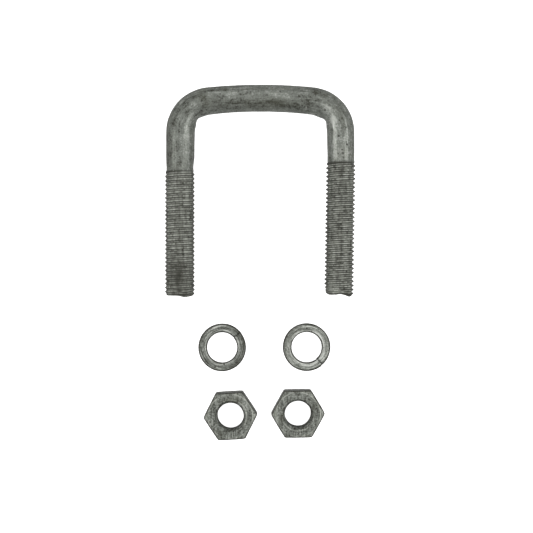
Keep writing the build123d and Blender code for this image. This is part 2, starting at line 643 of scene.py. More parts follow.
# ---------------------------------------------------------------- split ring
def coil_tree() -> GeometryGraph:
    """One turn of square-cut wire on a shallow helix, with a rounded section and closed ends.

    Returns:
        The tree.
    """
    lengths = ["Middle", "Width", "Thickness", "Rise", "Wrap", "Start angle", "Corner", "Bevel"]
    kinds = dict.fromkeys([*lengths, "Slant"], SocketKind.LENGTH)
    kinds |= dict.fromkeys(["Columns", "Rows", "Cap rows"], SocketKind.COUNT)
    g = GeometryGraph("split_ring", kinds)
    rows, cap = g.given("Rows"), g.given("Cap rows")
    mesh, across, along = g.grid(g.given("Columns"), rows + cap * 2)
    row = along * (rows + cap * 2) - cap
    turned = (row / rows).clamp()
    beyond = abs(row / rows - 0.5) - 0.5
    shrink = 1 - (beyond * rows / cap).clamp()

    wire_length = g.given("Middle") * TURN * g.given("Wrap")
    to_end = (0.5 - abs(turned - 0.5)) * wire_length
    cut_back = g.given("Bevel") / g.given("Thickness")
    bevelled = 1 - to_end.step(0.0, g.given("Bevel"), (1, 0)) * cut_back

    def squared(wave: Wire) -> Wire:
        """A sine or cosine pushed out towards a square's sides, and exactly 0 on its axis."""
        off_axis = abs(wave).maths("GREATER_THAN", NO_WAVE)
        return wave.maths("SIGN") * abs(wave).maths("POWER", g.given("Corner")) * off_axis

    section = across * TURN
    size = shrink * bevelled * 0.5
    out = squared(section.maths("COSINE")) * g.given("Width") * size
    lift = squared(section.maths("SINE")) * g.given("Thickness") * size
    leaning = lift * g.given("Slant") / g.given("Middle")
    angle = g.given("Start angle") + turned * g.given("Wrap") * TURN + leaning
    reach = g.given("Middle") + out
    height = g.given("Thickness") * 0.5 + g.given("Rise") * turned * g.given("Wrap") + lift
    position = g.point(reach * angle.maths("COSINE"), reach * angle.maths("SINE"), height)
    g.close(g.placed(mesh, position))
    return g


# ---------------------------------------------------------------- zinc coat
def coat_tree() -> GeometryGraph:
    """Lumps, grain and small dents of a dipped coat, raised on a finished skin.

    Returns:
        The tree.
    """
    lengths = ["Lump", "Lump scale", "Grain", "Grain scale", "Dent", "Dent scale"]
    kinds = dict.fromkeys(lengths, SocketKind.LENGTH) | {"Finish": SocketKind.FINISH}
    g = GeometryGraph("zinc_coat", kinds)
    where = g.node("GeometryNodeInputPosition")
    lumps = g.noise(where, g.given("Lump scale"), detail=2.0) * 2 - 1
    grain = g.noise(where, g.given("Grain scale"), detail=3.0) * 2 - 1
    dents = g.noise(where, g.given("Dent scale"), detail=0.0).step(*DENTED)
    height = lumps * g.given("Lump") + grain * g.given("Grain") - dents * g.given("Dent")
    outwards = g.node("GeometryNodeInputNormal")
    sockets = {"Geometry": g.given("Geometry"), "Offset": g.scaled(outwards, height)}
    raised = g.node("GeometryNodeSetPosition", sockets=sockets)
    smooth = g.node("GeometryNodeSetShadeSmooth", sockets={"Geometry": raised})
    g.close(smooth, g.given("Finish"))
    return g


@dataclass(frozen=True)
class Coat:
    """How rough the zinc lies on one kind of piece."""

    lump: float = 0.06 * MM
    lump_scale: float = 180.0
    grain: float = 0.025 * MM
    grain_scale: float = 700.0
    dent: float = 0.05 * MM
    dent_scale: float = 330.0

    def dip(
        self, name: str, bare: bpy.types.Mesh, tree: GeometryGraph, finish: bpy.types.Material
    ) -> bpy.types.Object:
        """Coats a bare mesh and makes the finished object.

        Args:
            name: the object's name.
            bare: the closed mesh of the piece.
            tree: the coat tree.
            finish: the material.

        Returns:
            The piece, in place, with its place in its mesh.
        """
        coated = tree.grow(
            bare, Lump=self.lump, Lump_scale=self.lump_scale, Grain=self.grain,
            Grain_scale=self.grain_scale, Dent=self.dent, Dent_scale=self.dent_scale,
            Finish=finish,
        )
        coated.name = name
        points = read_points(coated)
        points[:, 2] = np.maximum(points[:, 2], 0)
        write_points(coated, points)
        piece = bpy.data.objects.new(name, coated)
        bpy.context.collection.objects.link(piece)
        return piece


# ---------------------------------------------------------------- finishes
@dataclass(frozen=True)
class Sway:
    """How far one feature of the coat moves the surface's roughness, metalness and height."""

    rough: float = 0.0
    metal: float = 0.0
    height: float = 0.0


@dataclass(frozen=True)
class ZincFinish:
    """Hot-dip zinc, weathered to a mottled grey.

    Of the marks on a piece, "shade" darkens it with painted shade and "edge" brightens it with
    painted highlights; the mark for rubs and painted highlights makes it paler, the mark for
    stains and painted shade makes it duller and browner, and "unrolled" gives the coordinates
    that the streaks follow.
    """

    name: str
    dark: Colour = (0.034, 0.034, 0.025, 1)
    body: Colour = (0.172, 0.183, 0.162, 1)
    pale: Colour = (0.400, 0.415, 0.380, 1)
    # gleam is the colour of painted highlights, and the next colour tints clouds, stains and
    # painted shade
    gleam: Colour = (0.500, 0.520, 0.462, 1)
    stain_and_shade_tint: Colour = (0.090, 0.092, 0.066, 1)
    tone: float = 0.50
    dark_to_body: Band = (0.05, 0.55)
    body_to_pale: Band = (0.50, 1.05)
    # how far the mark for rubs and painted highlights lifts the tone, and how far the mark for
    # stains and painted shade lowers and browns it
    paler_for_rubs_and_highlights: float = 0.50
    duller_for_stains_and_shade: float = 0.45
    browner_for_stains_and_shade: float = 0.50
    clouded: Band = (0.50, 0.72)
    cloud_brown: float = 0.25
    shade_depth: float = 0.95
    least_gleam: float = 0.08
    gleaming: Band = (0.34, 0.62)
    metallic: float = 0.62
    rough: Band = (0.38, 0.60)
    cloud_scale: float = 75.0
    cloud: float = 0.45
    mottle_scale: float = 420.0
    mottle: float = 0.75
    speck_scale: float = 1400.0
    speck: float = 1.30
    streak_scale: float = 900.0
    streak: float = 0.90
    stretch: float = 0.16
    hair: float = 0.45
    hair_finer: float = 2.2
    spangle_scale: float = 620.0
    spangle: float = 0.10
    pit_scale: float = 560.0
    pit_wander: float = 0.5 * MM
    pit_chance: Band = (0.72, 0.80)
    pitted: float = 0.85
    scuff_scale: float = 260.0
    scuff_slant: float = 0.7
    scuff_stretch: float = 0.30
    scuffed: float = 0.70
    bump: float = 0.40
    bump_depth: float = 0.12 * MM
    shaded: Sway = Sway(rough=0.12, metal=-0.25)
    on_edge: Sway = Sway(rough=-0.14, metal=0.20)
    in_pit: Sway = Sway(rough=0.20, metal=-0.40, height=-0.60)
    on_scuff: Sway = Sway(rough=-0.12, metal=0.20, height=0.15)

    def material(self) -> bpy.types.Material:
        """Builds the material.

        Returns:
            A material that reads Object coordinates and the mesh's own marks.
        """
        made = bpy.data.materials.new(self.name)
        made.use_nodes = True
        made.node_tree.nodes.clear()
        g = Graph(made.node_tree)
        where = g.node("ShaderNodeTexCoord", out="Object")
        unrolled = g.node("ShaderNodeAttribute", {"attribute_name": "unrolled"}, out="Vector")
        shade, edge, rubs_and_highlights, stains_and_shade = (
            g.node("ShaderNodeAttribute", {"attribute_name": label}, out="Fac")
            for label in ("shade", "edge", "rubs_and_highlights", "stains_and_shade")
        )

        cloud = g.noise(where, self.cloud_scale, detail=3.0)
        mottle = g.noise(where, self.mottle_scale, detail=4.0, rough=0.65)
        speck = g.noise(where, self.speck_scale, detail=3.0, rough=0.75)
        drawn_out = g.vectors("MULTIPLY", unrolled, (1.0, self.stretch, 1.0))
        streak = g.noise(drawn_out, self.streak_scale, detail=3.0, rough=0.6)
        finer = (self.hair_finer, self.stretch / 2, self.hair_finer)
        hair = g.noise(g.vectors("MULTIPLY", unrolled, finer), self.streak_scale, rough=0.6)
        spangle, _, _ = g.parts(g.cells(where, self.spangle_scale, "F1", "Color"))
        pits = self._pits(g, where)
        scuffs = self._scuffs(g, where, rubs_and_highlights)

        # paler under real rubs and painted highlights, duller under real stains and painted shade
        tone = self.tone + rubs_and_highlights * self.paler_for_rubs_and_highlights - stains_and_shade * self.duller_for_stains_and_shade
        layers = (cloud, mottle, speck, streak, hair, spangle)
        weights = (self.cloud, self.mottle, self.speck, self.streak, self.hair, self.spangle)
        for layer, weight in zip(layers, weights):
            tone = tone + (layer - 0.5) * weight

        colour = g.mix(tone.step(*self.dark_to_body), self.dark, self.body)
        colour = g.mix(tone.step(*self.body_to_pale), colour, self.pale)
        # browner in the clouds and under real stains and painted shade
        brown = cloud.step(*self.clouded) * self.cloud_brown + stains_and_shade * self.browner_for_stains_and_shade
        colour = g.mix(brown, colour, self.stain_and_shade_tint)
        # painted shade: the shade mark takes the colour towards dark, further where stains and
        # painted shade lie too
        painted_shade = shade * self.shade_depth + (shade - shade * shade) * stains_and_shade
        colour = g.mix(painted_shade.clamp(), colour, self.dark)
        # painted highlights: the edge mark takes the colour towards the gleam colour, patchy with
        # the mottle and streaks
        uneven = (mottle * 0.5 + streak * 0.5).step(*self.gleaming)
        gleam = edge * (self.least_gleam + uneven * (1 - self.least_gleam))
        colour = g.mix(gleam.clamp(), colour, self.gleam)
        colour = g.mix(pits * self.pitted, colour, self.dark)
        colour = g.mix(scuffs * self.scuffed, colour, self.pale)

        rough = (mottle * 0.6 + speck * 0.4).step(0.3, 0.7, self.rough)
        metal = self.metallic
        height = mottle * 0.5 + speck * 0.3 + streak * 0.2 + spangle * 0.03
        features = (shade, edge, pits, scuffs)
        for mask, sway in zip(features, (self.shaded, self.on_edge, self.in_pit, self.on_scuff)):
            rough = rough + mask * sway.rough
            metal = metal + mask * sway.metal
            height = height + mask * sway.height

        bump = {"Strength": self.bump, "Distance": self.bump_depth, "Height": height}
        sockets = {"Base Color": colour, "Metallic": metal.clamp(), "Roughness": rough.clamp()}
        sockets["Normal"] = g.node("ShaderNodeBump", sockets=bump)
        shader = g.node("ShaderNodeBsdfPrincipled", sockets=sockets)
        output = g.tree.nodes.new("ShaderNodeOutputMaterial")
        g.tree.links.new(shader.socket, output.inputs["Surface"])
        return made

    def _pits(self, g: Graph, where: Wire) -> Wire:
        """Small dark craters, gathered in patches.

        Args:
            g: the material's nodes.
            where: the coordinates.

        Returns:
            A mask that is 1 in a crater.
        """
        sockets = {"Vector": where, "Scale": self.speck_scale}
        wander = g.node("ShaderNodeTexNoise", sockets=sockets, out="Color")
        warped = g.vectors("ADD", where, g.scaled(wander, self.pit_wander))
        near = g.cells(warped, self.pit_scale, "F1", "Distance")
        chance, size, _ = g.parts(g.cells(warped, self.pit_scale, "F1", "Color"))
        patch = g.noise(where, self.cloud_scale * 2.2)
        picked = (chance * 0.55 + patch * 0.9).step(*self.pit_chance)
        reach = 0.16 + size * 0.20
        return near.step(reach, reach * 0.5) * picked

    def _scuffs(self, g: Graph, where: Wire, rubs_and_highlights: Wire) -> Wire:
        """Short bright rubs that lie at a slant, most of them under the mark for rubs and painted
        highlights.

        Args:
            g: the material's nodes.
            where: the coordinates.
            rubs_and_highlights: the mark.

        Returns:
            A mask that is 1 on a rub.
        """
        turned, stretched = (0.0, 0.0, self.scuff_slant), (1.0, self.scuff_stretch, 1.0)
        sockets = {"Vector": where, "Rotation": turned, "Scale": stretched}
        slanted = g.node("ShaderNodeMapping", {"vector_type": "POINT"}, sockets)
        lines = g.noise(slanted, self.scuff_scale * 3, rough=0.7)
        patch = g.noise(where, self.scuff_scale) + rubs_and_highlights * 0.25
        return lines.step(0.60, 0.70) * patch.step(0.58, 0.70)


# ---------------------------------------------------------------- pieces
@dataclass
class UBolt:
    """The bent bar with a thread on each leg."""

    crest: float = 6.06 * MM
    shank: float = 5.54 * MM
    root: float = 5.32 * MM
    crest_flat: float = 0.36 * MM
    root_flat: float = 0.50 * MM
    left_root: float = 5.60 * MM
    left_crest_flat: float = 0.52 * MM
    axis_inset: float = 6.1 * MM
    left_threaded: float = 52.5 * MM
    right_threaded: float = 56.0 * MM
    bend_radius: float = 13.0 * MM
    crossbar_radius: float = 215.0 * MM
    runout: float = 3.2 * MM
    tip_radius: float = 5.15 * MM
    columns: int = 72
    tip_rings: int = 12
    bar_step: float = 0.6 * MM
    bend_step: float = math.radians(1.5)
    crossbar_points: int = 24
    right_shift: float = 1.2 * MM
    pinch: float = 1.05 * MM
    pinch_reach: float = 3.6 * MM
    gather: float = 0.35 * MM
    gather_reach: float = 12.0 * MM
    squeeze: float = 1.5
    left_swell: float = 0.45 * MM
    swell_from_apex: Band = (-6 * MM, 2 * MM)
    swell_outer_share: float = 0.3
    end_fade: float = 5.0 * MM
    right_lean: float = math.radians(1.0)
    lean_start: float = 3 * MM
    lean_ease: float = 6 * MM
    coat: Coat = Coat()
    name: str = "galvanised_u_bolt"
    # real rubs and painted highlights: the patches at 28.5, 34 and 46 mm along paint a highlight
    # round the right bend's inner corner and down the start of its leg
    rubs_and_highlights: tuple[Blemish, ...] = (
        Blemish(-3.0, -41.0, 1.6, 10.0, 0.45),
        Blemish(-0.2, -27.3, 0.6, 0.5, 0.60),
        Blemish(4.0, -30.6, 0.6, 0.8, 0.70),
        Blemish(-1.2, 28.5, 1.0, 2.0, 0.85),
        Blemish(-2.6, 34.0, 1.8, 4.0, 1.00),
        Blemish(-2.2, 46.0, 2.4, 11.0, 0.40),
        Blemish(2.0, 47.0, 1.8, 8.0, 0.45),
        Blemish(1.8, -14.0, 1.6, 4.0, 0.35),
        Blemish(2.2, 4.0, 1.6, 7.0, 0.30),
        Blemish(3.1, -104.4, 1.4, 0.7, 0.80),
        Blemish(-2.0, 104.0, 2.5, 2.0, 0.45),
    )
    # real stains, and painted shade where noted
    stains_and_shade: tuple[Blemish, ...] = (
        # painted shade along the lower side of the crossbar, the side turned from the far lamp
        Blemish(-2.5, -10.0, 1.7, 14.0, 0.32),
        Blemish(-2.5, 10.0, 1.4, 10.0, 0.50),
        Blemish(3.5, -14.1, 0.7, 1.2, 0.70),
        Blemish(0.5, -23.2, 3.5, 1.6, 0.45),
        Blemish(0.8, 36.0, 1.0, 5.0, 0.40),
        Blemish(3.0, 22.3, 0.8, 1.2, 0.80),
        Blemish(3.0, 25.3, 0.8, 1.2, 0.80),
        Blemish(4.0, -50.0, 2.0, 16.0, 0.25),
        Blemish(1.0, -99.5, 5.0, 6.0, 0.85),
        # painted shade down the middle of each leg's thread, between the highlights of the side
        # lamps
        Blemish(0.0, -81.0, 1.4, 24.0, 0.35),
        Blemish(0.0, 81.0, 1.2, 24.0, 0.30),
        Blemish(0.0, 56.5, 1.5, 1.5, 0.75),
        Blemish(0.0, 62.7, 1.5, 1.2, 0.60),
    )
    # painted shade on the thread's flanks and sides, and painted highlights on its crests and roots
    flank_shade: float = 2.2
    side_shade: float = 0.75
    # how much darker the whole threaded part of each leg is made
    thread_darkening: tuple[float, float] = (0.85, 0.70)  # on the left leg's thread and on the right's
    crest_light: tuple[float, float] = (0.72, 0.95)  # the same
    root_light: float = 0.60
    dents: tuple[Blemish, ...] = (
        Blemish(-0.3, -105.2, 1.4, 0.55),
        Blemish(1.9, 105.1, 1.3, 0.65),
    )
    dent_depth: float = 0.7 * MM
    knock: float = 0.75
    knocked_crest: float = 5.5 * MM
    tip_reach: float = 4.5 * MM

    def __post_init__(self) -> None:
        """Works out where the bolt lies from its CAD node."""
        low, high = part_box("u_bolt")
        self.leg_x = (high[0] - low[0]) / 2 - self.axis_inset
        self.axis_z = (low[2] + high[2]) / 2
        self.tip_y = low[1]
        self.crown_y = high[1]
        self.left_shoulder = self.tip_y + self.left_threaded
        self.right_shoulder = self.tip_y + self.right_threaded
        self.span = self.leg_x - self.bend_radius
        self.bow = math.asin(self.span / (self.crossbar_radius - self.bend_radius))
        self.crossbar_centre = self.crown_y - self.shank - self.crossbar_radius
        rise = (self.crossbar_radius - self.bend_radius) * math.cos(self.bow)
        self.bend_y = self.crossbar_centre + rise
        self.bend_length = self.bend_radius * (math.pi / 2 - self.bow)

    def path(self) -> np.ndarray:
        """The bar's axis from the left shoulder round to the right one.

        Returns:
            One row for each point.
        """
        bend, bar = self.bend_radius, self.crossbar_radius
        half_way = (self.left_shoulder + self.bend_y) / 2
        half = [(-self.leg_x, self.left_shoulder), (-self.leg_x, half_way)]
        for a in np.arange(math.pi, math.pi / 2 + self.bow, -self.bend_step):
            half.append((bend * math.cos(a) - self.span, bend * math.sin(a) + self.bend_y))
        for a in np.linspace(math.pi / 2 + self.bow, math.pi / 2, self.crossbar_points):
            half.append((bar * math.cos(a), bar * math.sin(a) + self.crossbar_centre))
        points = half + [(-x, y) for x, y in reversed(half[1:-1])]
        points.append((self.leg_x, self.right_shoulder))
        return np.array([(x, y, self.axis_z) for x, y in points])

    def bar(self, tree: GeometryGraph) -> bpy.types.Mesh:
        """Makes the plain bar between the two shoulders.

        Args:
            tree: the bar tree.

        Returns:
            The bar's skin, open at both ends.
        """
        path = self.path()
        links = [(i, i + 1) for i in range(len(path) - 1)]
        apex = self.crossbar_radius * self.bow + self.bend_length / 2
        crown_at = apex + self.bend_length / 2 + self.bend_y - self.left_shoulder
        return tree.grow(
            plain_mesh("bar_path", path, edges=links),
            Radius=self.shank, Apex=apex, Right_shift=self.right_shift, Pinch=self.pinch,
            Pinch_reach=self.pinch_reach, Gather=self.gather, Gather_reach=self.gather_reach,
            Squeeze=self.squeeze, Left_swell=self.left_swell, Swell_start=self.swell_from_apex[0],
            Swell_end=self.swell_from_apex[1], Outer_share=self.swell_outer_share,
            Fade=self.end_fade, Crown_at=crown_at,
            Columns=self.columns, Rows=round(2 * crown_at / self.bar_step),
        )

    def leg(self, tree: GeometryGraph, side: int) -> list[bpy.types.Mesh]:
        """One threaded leg and the face of its tip.

        Args:
            tree: the thread tree.
            side: -1 for the left leg, 1 for the right.

        Returns:
            The thread's skin and the tip's skin.
        """
        thread = Thread(self.crest, self.root, self.crest_flat, self.root_flat)
        length = self.right_threaded
        if side < 0:
            thread = Thread(self.crest, self.left_root, self.left_crest_flat, self.root_flat)
            length = self.left_threaded
        rims = (self.tip_radius, self.shank)
        tube = thread.tube(tree, length, *rims, self.columns, fade=self.runout)
        angles = np.linspace(0, TURN, self.columns + 1)
        radii = np.linspace(0, self.tip_radius, self.tip_rings)[:, None]
        flat = [radii * np.cos(angles), radii * np.sin(angles), 0 * radii * angles]
        tip = sheet_mesh("tip", np.stack(flat, -1))
        for mesh in (tube, tip):
            x, y, z = read_points(mesh).T
            laid = [side * self.leg_x + x, self.tip_y + z, self.axis_z - y]
            write_points(mesh, np.stack(laid, -1))
        return [tube, tip]

    def unroll(self, points: np.ndarray) -> np.ndarray:
        """Each point's place off the bar's axis and along it, with 0 at the crown.

        Args:
            points: one row for each vertex.

        Returns:
            One row for each vertex: outwards from the bolt, along the bar, and up.
        """
        x, y = np.abs(points[:, 0]), points[:, 1]
        sweep = np.arctan2(x, y - self.crossbar_centre)
        turn = np.arctan2(y - self.bend_y, x - self.span)
        on_bar = sweep < self.bow
        on_leg = ~on_bar & (y < self.bend_y)
        half_bar = self.crossbar_radius * self.bow
        out = np.hypot(x - self.span, y - self.bend_y) - self.bend_radius
        along = half_bar + self.bend_length - self.bend_radius * turn
        out = np.where(on_bar, np.hypot(x, y - self.crossbar_centre) - self.crossbar_radius, out)
        along = np.where(on_bar, self.crossbar_radius * sweep, along)
        out = np.where(on_leg, x - self.leg_x, out)
        along = np.where(on_leg, half_bar + self.bend_length + self.bend_y - y, along)
        return np.stack([out, along * np.sign(points[:, 0]), points[:, 2] - self.axis_z], -1)

    def marks(self, mesh: bpy.types.Mesh) -> np.ndarray:
        """Marks painted shade on the thread's flanks and sides and in the dents, painted highlights
        on its crests and roots, rubs with painted highlights, and stains with painted shade.

        Args:
            mesh: the whole skin, still true to size.

        Returns:
            The unrolled points.
        """
        points = read_points(mesh)
        unrolled = self.unroll(points)
        off_axis = np.hypot(unrolled[:, 0], unrolled[:, 2])
        on_left = unrolled[:, 1] < 0
        shoulder = np.where(on_left, self.left_shoulder, self.right_shoulder)
        on_thread = smooth_step(0.4 * MM, self.runout, shoulder - points[:, 1])
        root = np.where(on_left, self.left_root, self.root)
        height = np.clip((off_axis - root) / (self.crest - root), 0, 1)
        flank = 1 - np.abs(2 * height - 1)
        stains_and_shade = spread_all((*self.stains_and_shade, *self.dents), unrolled)
        # painted shade towards each leg's sides, where the round bar turns away from the lamps
        sides = self.side_shade * smooth_step(0.72, 1.0, np.abs(unrolled[:, 0]) / self.crest)
        thread_darkening = np.where(on_left, *self.thread_darkening)
        # painted shade on the flanks and sides, with the whole threaded part darkened as well
        shade = on_thread * (flank * self.flank_shade + sides + thread_darkening)
        # painted shade in the dents
        shade = shade + spread_all(self.dents, unrolled)
        # painted highlights on the crests and in the roots, where the lamps catch the thread
        land = np.where(height < 0.1, self.root_light, 0)
        land = np.where(height > 0.9, np.where(on_left, *self.crest_light), land)
        mark(mesh, "shade", np.clip(shade, 0, 1))
        mark(mesh, "edge", on_thread * land * (1 - sides) * (1 - 0.8 * stains_and_shade))
        # real rubs with painted highlights, and real stains with painted shade
        mark(mesh, "rubs_and_highlights", spread_all(self.rubs_and_highlights, unrolled))
        mark(mesh, "stains_and_shade", stains_and_shade)
        mark(mesh, "unrolled", unrolled)
        return unrolled

    def wear(self, mesh: bpy.types.Mesh, unrolled: np.ndarray) -> None:
        """Gives the tips the uneven ends of a cropped and dipped bar, and leans the right leg.

        Args:
            mesh: the whole skin.
            unrolled: the unrolled points.
        """
        points = read_points(mesh)
        side = np.sign(points[:, 0])
        along = points[:, 1] - self.tip_y
        off_x = points[:, 0] - side * self.leg_x
        off_z = points[:, 2] - self.axis_z
        off_axis = np.hypot(off_x, off_z)

        # the first crests on the right leg's inner side are knocked down, and both tips dented
        knocked = (side > 0) * smooth_step(4.6 * MM, 2.6 * MM, along)
        knocked = knocked * smooth_step(3 * MM, -1 * MM, off_x)
        knocked = knocked * self.knock * smooth_step(4.6 * MM, 5.0 * MM, off_axis)
        dented = spread_all(self.dents, unrolled) * self.dent_depth
        settled = off_axis + (self.knocked_crest - off_axis) * knocked - dented
        ratio = np.where(along < 8 * MM, settled / np.maximum(off_axis, 0.1 * MM), 1)
        points[:, 0] = side * self.leg_x + off_x * ratio
        points[:, 2] = self.axis_z + off_z * ratio

        # how far each tip ends short of a straight cut, in millimetres, from -1 to 1 across it
        across = off_x / self.crest
        left = 0.24 - 0.62 * bell(across, 0.42, 0.33)
        right = 0.60 + 0.32 * bell(across, 0.03, 0.18) - 0.78 * bell(across, 0.68, 0.24)
        right = right + 1.10 * smooth_step(-0.62, -0.98, across)
        near = np.clip(1 - along / self.tip_reach, 0, 1) ** 1.5
        points[:, 1] += near * np.where(side < 0, left, right) * MM

        down = np.maximum(self.left_shoulder + self.lean_start - points[:, 1], 0)
        lean = math.tan(self.right_lean) * down**2 / (down + self.lean_ease)
        points[:, 0] -= (side > 0) * lean
        write_points(mesh, points)

    def build(self, trees: "Trees", finish: bpy.types.Material) -> bpy.types.Object:
        """Makes the bolt.

        Args:
            trees: the geometry trees.
            finish: the zinc.

        Returns:
            The finished piece.
        """
        parts = [self.bar(trees.bar), *self.leg(trees.thread, -1), *self.leg(trees.thread, 1)]
        bare = weld("bare_bolt", parts)
        self.wear(bare, self.marks(bare))
        return self.coat.dip(self.name, bare, trees.coat, finish)


@dataclass
class SpringWasher:
    """One helical spring lock washer."""

    side: str
    split_angle: float
    cut: float = 0.3 * MM
    width: float = 3.65 * MM
    thickness: float = 2.5 * MM
    rise: float = 1.8 * MM
    slant: float = math.radians(20)
    corner: float = 0.36
    bevel: float = 0.30 * MM
    columns: int = 56
    rows: int = 220
    cap_rows: int = 6
    # a painted highlight ring, a line of painted shade and painted shade on both rims, placed
    # across the section from -1 at the bore to 1 outside
    ring: float = 0.35
    ring_at: float = -0.56
    shade_line: float = 0.40
    shade_line_at: float = -0.30
    line_width: float = 0.10
    outer_rim: Band = (0.58, 0.76)
    inner_rim: Band = (-0.68, -0.82)
    coat: Coat = Coat(lump=0.04 * MM, grain=0.02 * MM, dent=0.03 * MM)

    def marks(self, mesh: bpy.types.Mesh, middle: float) -> None:
        """Marks painted shade on the rims, a ring of painted highlight near the bore and a line of
        painted shade outside it.

        Args:
            mesh: the washer's skin, centred on the origin.
            middle: radius of the middle of the section.
        """
        x, y, z = read_points(mesh).T
        outwards = np.hypot(x, y) - middle
        across = outwards / (self.width / 2)
        # painted shade along a line and on the rims
        shaded_line = self.shade_line * bell(across, self.shade_line_at, self.line_width)
        rims = smooth_step(*self.outer_rim, across) + smooth_step(*self.inner_rim, across)
        mark(mesh, "shade", np.clip(shaded_line + rims, 0, 1))
        # painted highlight in a ring near the bore
        mark(mesh, "edge", self.ring * bell(across, self.ring_at, self.line_width))
        mark(mesh, "unrolled", np.stack([outwards, np.arctan2(y, x) * middle, z], -1))

    def build(self, trees: "Trees", finish: bpy.types.Material) -> bpy.types.Object:
        """Makes the washer.

        Args:
            trees: the geometry trees.
            finish: the zinc.

        Returns:
            The finished piece.
        """
        low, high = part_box(f"spring_washer_{self.side}")
        middle = (high[0] - low[0]) / 2 - self.width / 2
        ring = trees.coil.grow(
            plain_mesh("ring_start", np.zeros((1, 3))),
            Middle=middle, Width=self.width, Thickness=self.thickness, Rise=self.rise,
            Wrap=1 - self.cut / (TURN * middle), Start_angle=math.radians(self.split_angle),
            Corner=self.corner, Bevel=self.bevel, Slant=math.tan(self.slant),
            Columns=self.columns, Rows=self.rows, Cap_rows=self.cap_rows,
        )
        bare = weld(f"bare_washer_{self.side}", [ring])
        self.marks(bare, middle)
        place = centre_of(f"spring_washer_{self.side}")
        write_points(bare, read_points(bare) + np.array([place.x, place.y, 0]))
        return self.coat.dip(f"galvanised_washer_{self.side}", bare, trees.coat, finish)


